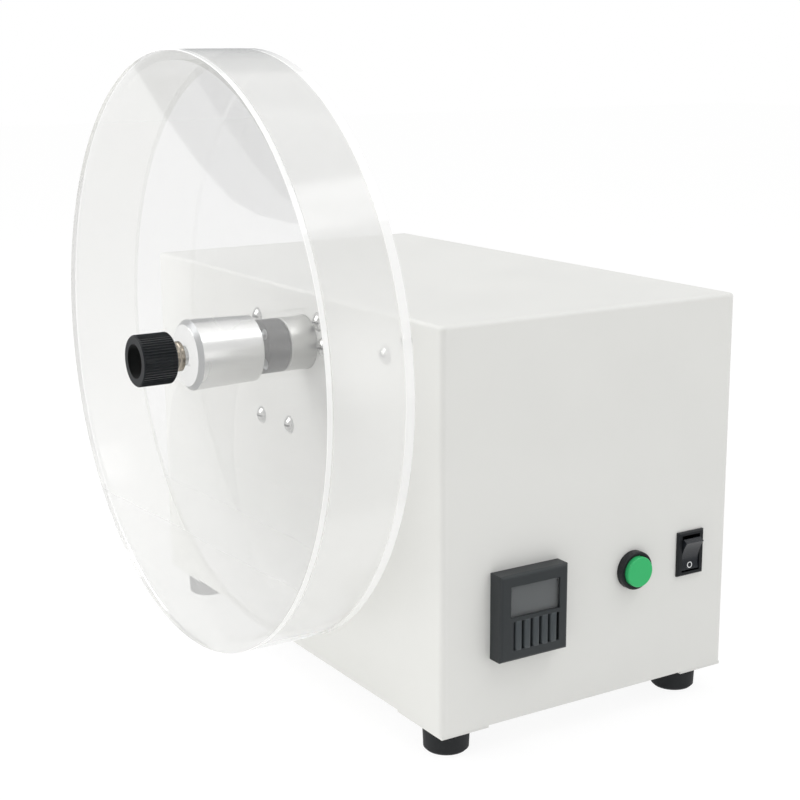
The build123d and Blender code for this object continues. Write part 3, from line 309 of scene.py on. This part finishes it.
def finish(name, shade, light, roughness, grain, depth, metallic=0.0, patch=40.0, specular=0.5):
    """A material between two shades, with a fine grain whose size and depth are in millimetres."""
    material = bpy.data.materials.new(name)
    material.use_nodes = True
    material.node_tree.nodes.clear()
    place = add(material, "ShaderNodeTexCoord").outputs["Object"]
    patches = add(material, "ShaderNodeTexNoise",
                  {"Vector": place, "Scale": 1 / (patch * MM), "Detail": 3.0}).outputs["Fac"]
    colour = add(material, "ShaderNodeMix", {0: patches, 6: linear(shade), 7: linear(light)},
                 data_type="RGBA").outputs[2]
    gloss = add(material, "ShaderNodeMapRange", {
        "Value": patches, "From Min": NOISE_LOW, "From Max": NOISE_HIGH,
        "To Min": roughness[0], "To Max": roughness[1]}).outputs[0]
    bumps = add(material, "ShaderNodeTexNoise",
                {"Vector": place, "Scale": 1 / (grain * MM), "Detail": 2.0}).outputs["Fac"]
    relief = add(material, "ShaderNodeBump",
                 {"Height": bumps, "Strength": 1.0, "Distance": depth * MM}).outputs[0]
    shader = add(material, "ShaderNodeBsdfPrincipled", {
        "Base Color": colour, "Roughness": gloss, "Normal": relief, "Metallic": metallic,
        "Specular IOR Level": specular})
    add(material, "ShaderNodeOutputMaterial", {"Surface": shader.outputs[0]})
    return material, shader


def dress(material, *names):
    """Gives CAD nodes a material in place of the plain one that they came with."""
    for name in names:
        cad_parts[name].material_slots[0].material = material
    print(material.name, "on", *names)


# %% [markdown]
# The housing is mild steel sheet with a light grey powder coat. The powder melts into a skin with
# a faint orange peel, about a millimetre from crest to crest, which only shows where light grazes.
# It is a hundredth of a millimetre deep, so a bump does for it, and the mesh stays as it is.

# %% Powder coat
powder_coat, _ = finish("powder_coated_steel", "#DFDFDC", "#E3E3E0", (0.42, 0.52), 1.1, 0.012)
dress(powder_coat, "housing_shell", "rear_panel", "foot_plates")

# %% [markdown]
# What hides inside is zinc plated: the base plate, the bracket, nuts and screws. Zinc grows in
# pale spangles of a few millimetres with a dull shine, so its patches are much smaller than those
# of the other finishes and its two shades lie further apart.

# %% Zinc plate
zinc_plate, _ = finish("zinc_plated_steel", "#A9ACAE", "#C4C7C9", (0.3, 0.45), 0.5, 0.004,
                       metallic=1.0, patch=5.0)
dress(zinc_plate, "base_plate", "drive_bracket", "side_nuts", "foot_nuts", "bearing_circlip",
      "count_disc", "counter_clip", "foot_screws", "base_screws", "gearhead_screws", "hub_screws")

# %% [markdown]
# Some finishes change from place to place on a piece. A second material on some of its faces
# could do that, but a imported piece's mesh stays as it is, so the change is made inside the one
# material. Three helpers say where a point lies: how far along the drum's axis, how high above
# the floor, and how far from the axis. A fourth marks the points where such a measure stays below
# a limit, and a fifth paints the marked points over with a second colour and roughness.

# %% Where a point lies
rim_low, rim_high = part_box("drum_rim")
AXIS = (rim_low + rim_high) / 2
DRUM_RADIUS = (rim_high.y - rim_low.y) / 2
print("drum axis", round(AXIS.z / MM, 1), "mm up, drum radius", round(DRUM_RADIUS / MM, 1), "mm")


def along_of(material):
    """Place of a point along the drum's axis, which is X."""
    place = add(material, "ShaderNodeTexCoord").outputs["Object"]
    return add(material, "ShaderNodeSeparateXYZ", {0: place}).outputs["X"]


def height_of(material):
    """Height of a point above the floor."""
    place = add(material, "ShaderNodeTexCoord").outputs["Object"]
    return add(material, "ShaderNodeSeparateXYZ", {0: place}).outputs["Z"]


def radius_of(material):
    """Distance of a point from the drum's axis."""
    place = add(material, "ShaderNodeTexCoord").outputs["Object"]
    offset = add(material, "ShaderNodeVectorMath", {0: place, 1: AXIS},
                 operation="SUBTRACT").outputs[0]
    across = add(material, "ShaderNodeVectorMath", {0: offset, 1: (0, 1, 1)},
                 operation="MULTIPLY").outputs[0]
    return add(material, "ShaderNodeVectorMath", {0: across}, operation="LENGTH").outputs["Value"]


def below(material, measure, limit):
    """1 where a measure of the point stays below a limit."""
    return add(material, "ShaderNodeMath", {0: measure(material), 1: limit},
               operation="LESS_THAN").outputs[0]


def repaint(material, shader, mask, colour, roughness):
    """Mixes a second colour and roughness in where a mask is 1."""
    for socket, kind, first, value in (("Base Color", "RGBA", 6, linear(colour)),
                                       ("Roughness", "FLOAT", 2, roughness)):
        before = shader.inputs[socket].links[0].from_socket
        mixed = add(material, "ShaderNodeMix", {0: mask, first: before, first + 1: value},
                    data_type=kind)
        result = mixed.outputs[2 if kind == "RGBA" else 0]
        material.node_tree.links.new(result, shader.inputs[socket])


# %% [markdown]
# Turned metal keeps the tool's path: fine rings round the axis, which is X here. A wave along X
# draws them. Real rings lie 0.1 mm apart, too fine to show, so they are drawn at 0.6 mm.

# %% Turned rings
RING_PITCH = 0.6
WAVES_PER_UNIT = 20 / tau        # the wave node runs this many times faster than its scale


def turned_rings(material, shader, depth):
    """Adds the tool's rings along X to a material's relief."""
    place = add(material, "ShaderNodeTexCoord").outputs["Object"]
    rings = add(material, "ShaderNodeTexWave", {
        "Vector": place, "Scale": 1 / (RING_PITCH * MM * WAVES_PER_UNIT), "Distortion": 1.5,
        "Detail": 2.0, "Detail Scale": 3.0}, bands_direction="X").outputs["Fac"]
    grain = shader.inputs["Normal"].links[0].from_socket
    relief = add(material, "ShaderNodeBump", {
        "Height": rings, "Strength": 1.0, "Distance": depth * MM, "Normal": grain}).outputs[0]
    material.node_tree.links.new(relief, shader.inputs["Normal"])


# %% [markdown]
# The hub is the brightest metal of the tester: aluminium, turned and then polished. Its end face
# shines like a mirror and is painted near white, a painted highlight. The chamfer round it is
# painted a dull grey, a painted shade. Both belong to the same solid, so they are painted over by
# their place along the axis: first all that lies left of the chamfer's inner end, and then the
# face alone.

# %% Polished hub
HUB_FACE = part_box("drum_hub")[0].x / MM
CHAMFER = 2.45
FACE_SKIN = 0.1                  # how deep behind the face its paint reaches

polished_aluminium, shader = finish("turned_and_polished_aluminium", "#D2D2D1", "#DEDEDD",
                                    (0.22, 0.30), 0.4, 0.001, metallic=1.0)
turned_rings(polished_aluminium, shader, 0.004)
# Painted shade: the chamfer is painted a dull grey
chamfer_shade_zone = below(polished_aluminium, along_of, (HUB_FACE + CHAMFER) * MM)
repaint(polished_aluminium, shader, chamfer_shade_zone, "#A2A3A4", 0.3)
# Painted highlight: the end face is painted near white
face_highlight_zone = below(polished_aluminium, along_of, (HUB_FACE + FACE_SKIN) * MM)
repaint(polished_aluminium, shader, face_highlight_zone, "#F6F6F5", 0.1)
dress(polished_aluminium, "drum_hub")

# %% [markdown]
# The other turned pieces are duller. The bearing block is left as it comes off the lathe. The
# drive flange is anodised dark grey, which swallows most of the light. The clamp collar is brass
# under nickel, a little warmer than steel.

# %% Other turned metals
satin_aluminium, shader = finish("turned_aluminium", "#B5B5B2", "#C2C2BF", (0.34, 0.42),
                                 0.4, 0.001, metallic=1.0)
turned_rings(satin_aluminium, shader, 0.004)
dress(satin_aluminium, "bearing_block", "shaft_coupling", "gearhead")

grey_anodised, shader = finish("grey_anodised_aluminium", "#0D0D0E", "#131314", (0.34, 0.42),
                               0.4, 0.001, specular=0.2)
turned_rings(grey_anodised, shader, 0.003)
dress(grey_anodised, "drive_flange")

bright_nickel, shader = finish("nickel_plated_brass", "#8C8479", "#9C958A", (0.2, 0.28),
                               0.5, 0.001, metallic=1.0)
turned_rings(bright_nickel, shader, 0.002)
dress(bright_nickel, "clamp_collar")

# %% [markdown]
# Ground steel and drawn brass are smooth and mirror the room in soft bands. Blackened steel is
# dull, with an oily look.

# %% Steel and brass
bright_steel, _ = finish("bright_steel", "#BDBDBB", "#CFCFCD", (0.18, 0.28), 0.5, 0.002,
                         metallic=1.0)
dress(bright_steel, "spindle_shaft", "gearhead_shaft", "front_bearing", "rear_bearing",
      "drive_pins")

black_steel, _ = finish("blackened_steel", "#1B1B1D", "#262629", (0.4, 0.55), 0.6, 0.01)
dress(black_steel, "grub_screws", "drive_motor")

brass, _ = finish("bright_brass", "#C9A85C", "#D6B873", (0.22, 0.32), 0.5, 0.002, metallic=1.0)
dress(brass, "inlet_pins", "switch_terminals")

# %% [markdown]
# The screws on the outside are bright steel too, with painted shade in their slots and round
# their rims, where other surfaces stand close and shade falls. Without it their domes would melt
# into the pale housing. Ambient occlusion finds those places: it is low where other surfaces stand
# close by.

# %% Painted shade round the screws
SHADE_REACH = 2.6
HIDDEN, OPEN = 0.4, 0.95         # ambient occlusion deep in a slot, and on the open dome

screw_steel, shader = finish("bright_screw_steel", "#BDBDBB", "#CFCFCD", (0.18, 0.28), 0.5, 0.002,
                             metallic=1.0)
open_sky = add(screw_steel, "ShaderNodeAmbientOcclusion", {"Distance": SHADE_REACH * MM})
screw_shade = add(screw_steel, "ShaderNodeMapRange", {
    "Value": open_sky.outputs["AO"], "From Min": HIDDEN, "From Max": OPEN,
    "To Min": 1.0, "To Max": 0.0}).outputs[0]
# Painted shade: dark grey where the ambient occlusion is low
repaint(screw_steel, shader, screw_shade, "#3C3D3F", 0.6)
dress(screw_steel, "side_screws", "rear_panel_screws", "inlet_screws")

# %% [markdown]
# The drum is clear acrylic: cast sheet for the discs, a ring between them and a bent strip for
# the scoop. A true glass shader would bend the light at every face of every sheet, and four
# sheets stand one behind the other here. Thin sheet hardly shifts what is behind it, so most of
# the light goes straight on, each outer face mirrors by Fresnel's law, and a little white haze
# stays: the fine scratches of tumbled tablets.
#
# Some zones have more haze, or haze of another colour. A zone is a measure of the point, where
# the zone starts and where it is full, the share of haze there, and the haze's colour.

# %% Clear acrylic
ACRYLIC_IOR = 1.49
WIPING = 70.0                    # size of the patches that a cloth leaves
# Seen from inside, the sawn edge is painted this greyer white, a painted shade
INNER_EDGE_SHADE = "#ECECEB"


def clear_acrylic(name, haze, tint, *zones, milk="#FEFEFD", polish=0.03, ior=ACRYLIC_IOR,
                  edge=None):
    """Clear sheet with a share of haze and a tint; beyond the radius of edge it scatters inside."""
    material = bpy.data.materials.new(name)
    material.use_nodes = True
    material.node_tree.nodes.clear()
    place = add(material, "ShaderNodeTexCoord").outputs["Object"]
    wiping = add(material, "ShaderNodeTexNoise", {
        "Vector": place, "Scale": 1 / (WIPING * MM), "Detail": 5.0,
        "Distortion": 1.2}).outputs["Fac"]
    veil = add(material, "ShaderNodeMapRange", {
        "Value": wiping, "From Min": NOISE_LOW, "From Max": NOISE_HIGH,
        "To Min": haze[0], "To Max": haze[1]}).outputs[0]
    white = linear(milk)
    for measure, start, full, zone_veil, zone_milk in zones:
        inside = add(material, "ShaderNodeMapRange", {
            "Value": measure(material), "From Min": start, "From Max": full},
            interpolation_type="SMOOTHSTEP").outputs[0]
        if zone_veil:
            veil = add(material, "ShaderNodeMix", {0: inside, 2: veil, 3: zone_veil}).outputs[0]
        white = add(material, "ShaderNodeMix", {0: inside, 6: white, 7: linear(zone_milk)},
                    data_type="RGBA").outputs[2]

    # A face seen from inside is clear, but for the sawn edge: it scatters there too, painted greyer
    # as painted shade
    inner = add(material, "ShaderNodeNewGeometry").outputs["Backfacing"]
    if edge:
        white = add(material, "ShaderNodeMix", {0: inner, 6: white, 7: linear(INNER_EDGE_SHADE)},
                    data_type="RGBA").outputs[2]
        inner = add(material, "ShaderNodeMath", {0: inner, 1: below(material, radius_of, edge)},
                    operation="MULTIPLY").outputs[0]

    clear = add(material, "ShaderNodeBsdfTransparent", {"Color": linear(tint)})
    milky = add(material, "ShaderNodeBsdfDiffuse", {"Color": white})
    gloss = add(material, "ShaderNodeBsdfGlossy", {"Color": linear("#FFFFFF"), "Roughness": polish})
    mirrored = add(material, "ShaderNodeFresnel", {"IOR": ior}).outputs[0]
    body = add(material, "ShaderNodeMixShader", {0: veil, 1: clear.outputs[0], 2: milky.outputs[0]})
    sheet = add(material, "ShaderNodeMixShader",
                {0: mirrored, 1: body.outputs[0], 2: gloss.outputs[0]})

    # Lamps shine through clear sheet without a shadow
    shadow_ray = add(material, "ShaderNodeLightPath").outputs["Is Shadow Ray"]
    passing = add(material, "ShaderNodeMath", {0: inner, 1: shadow_ray},
                  operation="MAXIMUM").outputs[0]
    both = add(material, "ShaderNodeMixShader",
               {0: passing, 1: sheet.outputs[0], 2: clear.outputs[0]})
    add(material, "ShaderNodeOutputMaterial", {"Surface": both.outputs[0]})
    return material


# A ray may cross eight clear faces before it reaches the housing, and as many to reach a lamp
MOST_CLEAR_FACES = 24
scene.cycles.transparent_max_bounces = MOST_CLEAR_FACES

# %% [markdown]
# Three things happened to this drum. The discs were sawn, and a sawn edge scatters and shines
# white. Hands have dulled the outside of the ring. Its haze is painted less white in the upper
# half, a painted shade, and it is greyer near the bottom. Fine powder of the tablets has settled
# on the lower part of both discs. Only the lid's edge shows from inside as well, in a greyer
# white that is painted shade, and draws the drum's outline at the left.
# The scoop shows as faint traces on the real drum, so it is given a lower IOR than acrylic has
# and mirrors less.

# %% Drum sheets
SAWN_HAZE, HAND_HAZE, POWDER_HAZE = 0.92, 0.56, 0.55
DISC_MILK = "#DCDCDB"
SCOOP_IOR = 1.3
EDGE_RADIUS = DRUM_RADIUS - 0.3 * MM

sawn = (radius_of, EDGE_RADIUS - 0.2 * MM, EDGE_RADIUS, SAWN_HAZE, "#FAFAF9")
handled = (radius_of, EDGE_RADIUS - 0.1 * MM, EDGE_RADIUS + 0.1 * MM, HAND_HAZE, "#FEFEFD")
# Painted shade: the ring's haze turns greyer towards its top
painted_shade_above = (height_of, AXIS.z, AXIS.z + 100 * MM, None, "#DFDFDE")
greyer_below = (height_of, 130 * MM, 30 * MM, None, "#DCDCDB")
powder_below = (height_of, 200 * MM, 20 * MM, POWDER_HAZE, "#DDDDDC")

lid_acrylic = clear_acrylic("cast_acrylic_lid", (0.06, 0.09), "#FCFCFC", powder_below, sawn,
                            milk=DISC_MILK, edge=EDGE_RADIUS)
back_acrylic = clear_acrylic("cast_acrylic_back", (0.04, 0.07), "#FCFCFC", powder_below, sawn,
                             milk=DISC_MILK)
ring_acrylic = clear_acrylic("bent_acrylic_ring", (0.01, 0.03), "#FAFAF9", handled, painted_shade_above,
                             greyer_below, polish=0.14)
scoop_acrylic = clear_acrylic("bent_acrylic_scoop", (0.03, 0.05), "#FDFDFD", ior=SCOOP_IOR)
pane_acrylic = clear_acrylic("counter_pane", (0.01, 0.03), "#FCFCFC")
dress(back_acrylic, "drum_back_disc")
dress(scoop_acrylic, "drum_scoop")

# %% [markdown]
# The knob is moulded black plastic with a dull skin. Its mouth is a deep hole that holds hardly
# any light, so the plastic near the axis is painted over in a duller black. A knob so dark and so
# near the lid would show twice, once mirrored. The real lid shows only the pale room there, so
# what sits on the lid's front is left out of reflections.

# %% Knob
KNOB_MOUTH = 8.7

knob_plastic, shader = finish("moulded_knob_plastic", "#090D10", "#10151A", (0.38, 0.48),
                              0.4, 0.006, specular=0.16)
repaint(knob_plastic, shader, below(knob_plastic, radius_of, KNOB_MOUTH * MM), "#020303", 0.8)
dress(knob_plastic, "clamp_knob")

for name in ("clamp_knob", "clamp_collar", "spindle_shaft"):
    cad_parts[name].visible_glossy = False

# %% [markdown]
# The fittings of the front panel are moulded plastic as well. A mould's skin has a fine even
# grain. The counter's frame is matt charcoal, and its keys are a little shinier and painted a
# little lighter, which also stands in for a painted highlight on their ridges. The rocker and the
# green cap are glossy, so each shows a soft light patch. The display is a smooth grey film, unlit.

# %% Front panel
KEYS = range(1, 6)

frame_plastic, _ = finish("moulded_counter_plastic", "#2F3335", "#36393B", (0.42, 0.5),
                          0.35, 0.006, specular=0.3)
dress(frame_plastic, "counter_bezel", "counter_case")

# The keys' lighter shade is partly a painted highlight on their ridges
key_plastic, _ = finish("moulded_key_plastic", "#3E4346", "#454B4E", (0.3, 0.38),
                        0.35, 0.004, specular=0.4)
dress(key_plastic, *(f"counter_key_{k}" for k in KEYS))

rocker_plastic, _ = finish("moulded_rocker_plastic", "#1C1F24", "#24272C", (0.2, 0.28),
                           0.5, 0.003, specular=0.4)
dress(rocker_plastic, "switch_rocker")

green_plastic, _ = finish("moulded_green_plastic", "#33B46A", "#3DBC73", (0.25, 0.33),
                          0.6, 0.004, specular=0.3)
dress(green_plastic, "start_button")

display_film, _ = finish("unlit_display", "#5E6162", "#636668", (0.12, 0.18), 0.6, 0.001)
dress(display_film, "counter_display")

# %% [markdown]
# Sockets, switch bodies and terminals are plain black plastic, matt enough not to draw the eye.
# The motor's capacitor has a smooth light grey case.

# %% Electrical parts
black_plastic, _ = finish("moulded_black_plastic", "#16181B", "#1D1F22", (0.35, 0.45),
                          0.4, 0.005, specular=0.3)
dress(black_plastic, "button_bezel", "button_nut", "button_contacts", "switch_body", "inlet_body",
      "terminal_block", "count_sensor")

capacitor_film, _ = finish("capacitor_case", "#BFC1C1", "#CACCCC", (0.25, 0.35), 0.8, 0.004)
dress(capacitor_film, "motor_capacitor")

# %% [markdown]
# The feet are moulded black rubber, dull and dusty grey where light grazes them.

# %% Rubber
foot_rubber, _ = finish("moulded_rubber", "#1A1C1E", "#232527", (0.6, 0.72), 0.3, 0.01,
                        patch=8.0, specular=0.3)
dress(foot_rubber, "foot_front_left", "foot_front_right", "foot_rear_left", "foot_rear_right")

# %% [markdown]
# ## Shapes
# Two helpers make the new pieces. One turns the faces of a finished bmesh outwards, makes it an
# object, hangs it on an empty for the body that carries it and hides the imported pieces it stands
# for. The other turns an outline round an axis, as a lathe does. A cylinder with more edges cut
# into it would get there too, but one outline holds the hole, the bevel and the thickness at once.

# %% Make a piece
CREASE = 32                      # degrees, past which an edge is shaded sharp


def make_piece(shape, name, material, body, *replaced):
    """A finished piece from a bmesh, carried by a body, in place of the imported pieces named."""
    bmesh.ops.remove_doubles(shape, verts=shape.verts, dist=0.001 * MM)
    bmesh.ops.recalc_face_normals(shape, faces=shape.faces)
    mesh = bpy.data.meshes.new(name)
    shape.to_mesh(mesh)
    shape.free()
    mesh.shade_smooth()
    mesh.set_sharp_from_angle(angle=radians(CREASE))
    mesh.materials.append(material)
    piece = bpy.data.objects.new(name, mesh)
    scene.collection.objects.link(piece)
    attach(piece, body)
    if replaced:
        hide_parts(*replaced)
    print(name, len(mesh.polygons), "faces")
    return piece


# %% Turn on a lathe
def turned(outline, middle, axis, steps):
    """A bmesh of a closed outline of (along, radius) in millimetres, turned round an axis."""
    axis = Vector(axis).normalized()
    side = axis.orthogonal().normalized()
    shape = bmesh.new()
    corners = [shape.verts.new(Vector(middle) + axis * along * MM + side * radius * MM)
               for along, radius in outline]
    edges = [shape.edges.new((a, b)) for a, b in zip(corners, corners[1:] + corners[:1])]
    bmesh.ops.spin(shape, geom=corners + edges, cent=middle, axis=axis, angle=tau, steps=steps,
                   use_merge=True)
    return shape


# %% [markdown]
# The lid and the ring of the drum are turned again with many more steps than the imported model
# has, because their outlines are the longest curves of the tester. A hair of space stays between
# the lid, the ring and the hub: two clear faces in one place would flicker.

# %% Drum lid and ring
ROUND_STEPS = 240
HAIR = 0.08
BORE = 5.3                       # radius of the lid's hole for the spindle
BEVEL = 0.4                      # width of the bevel at the lid's edge
RING_WALL = 5.0

lid_low, lid_high = (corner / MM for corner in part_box("drum_lid"))
ring_low, ring_high = (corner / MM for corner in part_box("drum_rim"))
axis_foot = Vector((0, AXIS.y, AXIS.z))
lid_radius = (lid_high.y - lid_low.y) / 2
ring_radius = (ring_high.y - ring_low.y) / 2

lid_outline = [(lid_low.x, BORE), (lid_low.x, lid_radius - BEVEL),
               (lid_low.x + BEVEL, lid_radius), (lid_high.x - BEVEL, lid_radius),
               (lid_high.x - HAIR, lid_radius - BEVEL), (lid_high.x - HAIR, BORE)]
make_piece(turned(lid_outline, axis_foot, (1, 0, 0), ROUND_STEPS), "lid_sheet", lid_acrylic,
           "lid", "drum_lid")

ring_outline = [(ring_low.x + HAIR, ring_radius - RING_WALL), (ring_low.x + HAIR, ring_radius),
                (ring_high.x - HAIR, ring_radius), (ring_high.x - HAIR, ring_radius - RING_WALL)]
make_piece(turned(ring_outline, axis_foot, (1, 0, 0), ROUND_STEPS), "ring_wall", ring_acrylic,
           "drum", "drum_rim")

# %% [markdown]
# The counter's pane is a thin sheet that must not touch the display behind it, for the same
# reason. The five key caps are bars with a rounded front, which gives each its light ridge. The
# imported keys have square fronts, and a bevel of the four front edges is all that they lack.

# %% Counter pane and key caps
def bar(low, high):
    """A bmesh block between two corners."""
    shape = bmesh.new()
    bmesh.ops.create_cube(shape, size=1.0)
    bmesh.ops.scale(shape, vec=high - low, verts=shape.verts)
    bmesh.ops.translate(shape, vec=(low + high) / 2, verts=shape.verts)
    return shape


PANE_GAP = 0.2
KEY_ROUNDING = 1.2
KEY_ROUNDING_STEPS = 5

pane_low, pane_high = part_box("counter_window")
make_piece(bar(pane_low, pane_high - Vector((0, PANE_GAP, 0)) * MM), "counter_pane", pane_acrylic,
           "housing", "counter_window")

for k in KEYS:
    cap_low, cap_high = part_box(f"counter_key_{k}")
    cap = bar(cap_low, cap_high)
    front_edges = [edge for edge in cap.edges
                   if all(abs(end.co.y - cap_low.y) < 0.01 * MM for end in edge.verts)]
    bmesh.ops.bevel(cap, geom=front_edges, offset=KEY_ROUNDING * MM, segments=KEY_ROUNDING_STEPS,
                    profile=0.5, affect="EDGES", material=-1, offset_type="OFFSET")
    make_piece(cap, f"key_cap_{k}", key_plastic, f"key_{k}", f"counter_key_{k}")

# %% [markdown]
# The rocker carries the usual white ring of its off side, printed near its lower end. It is a
# flat ring, sunk into the rocker so far that only the thickness of the print stands out. Its place
# is measured from the rocker's lower end and from the tip that stands out furthest.

# %% Rocker mark
MARK_UP, MARK_BACK = 2.612, 3.906
MARK_FACING = (0, -0.997, 0.082)
MARK_RADIUS, MARK_LINE = 1.7, 0.5
MARK_SUNK, MARK_PROUD = 0.3, 0.08
MARK_STEPS = 48

rocker_low, rocker_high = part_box("switch_rocker")
mark_middle = Vector(((rocker_low.x + rocker_high.x) / 2, rocker_low.y + MARK_BACK * MM,
                      rocker_low.z + MARK_UP * MM))
mark_paint, _ = finish("white_pad_print", "#D9DADB", "#E3E4E5", (0.4, 0.5), 0.4, 0.004)
mark_outline = [(-MARK_SUNK, MARK_RADIUS - MARK_LINE), (-MARK_SUNK, MARK_RADIUS),
                (MARK_PROUD, MARK_RADIUS), (MARK_PROUD, MARK_RADIUS - MARK_LINE)]
make_piece(turned(mark_outline, mark_middle, MARK_FACING, MARK_STEPS), "rocker_mark", mark_paint,
           "rocker")
